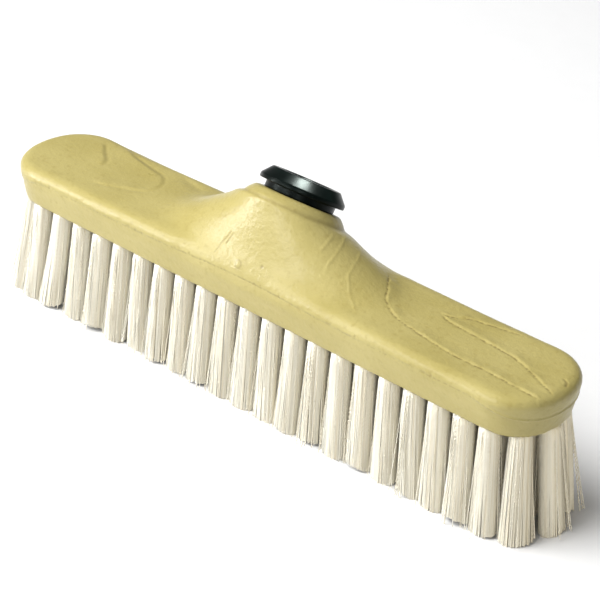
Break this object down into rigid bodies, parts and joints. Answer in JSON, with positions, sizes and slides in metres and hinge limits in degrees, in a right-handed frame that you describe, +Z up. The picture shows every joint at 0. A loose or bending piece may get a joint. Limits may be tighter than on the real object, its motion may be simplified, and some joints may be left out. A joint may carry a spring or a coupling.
{
  "type": "scrub brush head",
  "caption": "Broom-type scrub brush head: moulded block with sweeping wings, leaning neck with a black handle bush, and splayed bristle tufts along the underside.",
  "frame": {"origin": "on the plane of the bristle tips, under the middle of the block", "axes": "+X along the block, +Y to the back, where the neck leans, +Z up from the bristle tips to the neck"},
  "size_m": [0.3124, 0.0544, 0.107],
  "materials": {
    "block": "satin moulded polypropylene, pale straw yellow",
    "bush": "glossy black moulded plastic",
    "bristle": "translucent ivory nylon filament",
    "anchor_wire": "flat drawn steel wire"
  },
  "bodies": {
    "root": {"anchors_left_end": "anchor_wire", "anchors_rank_01": "anchor_wire", "anchors_rank_02": "anchor_wire", "anchors_rank_03": "anchor_wire", "anchors_rank_04": "anchor_wire", "anchors_rank_05": "anchor_wire", "anchors_rank_06": "anchor_wire", "anchors_rank_07": "anchor_wire", "anchors_rank_08": "anchor_wire", "anchors_rank_09": "anchor_wire", "anchors_rank_10": "anchor_wire", "anchors_rank_11": "anchor_wire", "anchors_rank_12": "anchor_wire", "anchors_rank_13": "anchor_wire", "anchors_rank_14": "anchor_wire", "anchors_rank_15": "anchor_wire", "anchors_rank_16": "anchor_wire", "anchors_rank_17": "anchor_wire", "anchors_rank_18": "anchor_wire", "anchors_rank_19": "anchor_wire", "anchors_rank_20": "anchor_wire", "anchors_rank_21": "anchor_wire", "anchors_right_end": "anchor_wire", "brush_block": "block", "handle_bush": "bush", "tufts_left_end": "bristle", "tufts_rank_01": "bristle", "tufts_rank_02": "bristle", "tufts_rank_03": "bristle", "tufts_rank_04": "bristle", "tufts_rank_05": "bristle", "tufts_rank_06": "bristle", "tufts_rank_07": "bristle", "tufts_rank_08": "bristle", "tufts_rank_09": "bristle", "tufts_rank_10": "bristle", "tufts_rank_11": "bristle", "tufts_rank_12": "bristle", "tufts_rank_13": "bristle", "tufts_rank_14": "bristle", "tufts_rank_15": "bristle", "tufts_rank_16": "bristle", "tufts_rank_17": "bristle", "tufts_rank_18": "bristle", "tufts_rank_19": "bristle", "tufts_rank_20": "bristle", "tufts_rank_21": "bristle", "tufts_right_end": "bristle"}
  },
  "joints": []
}
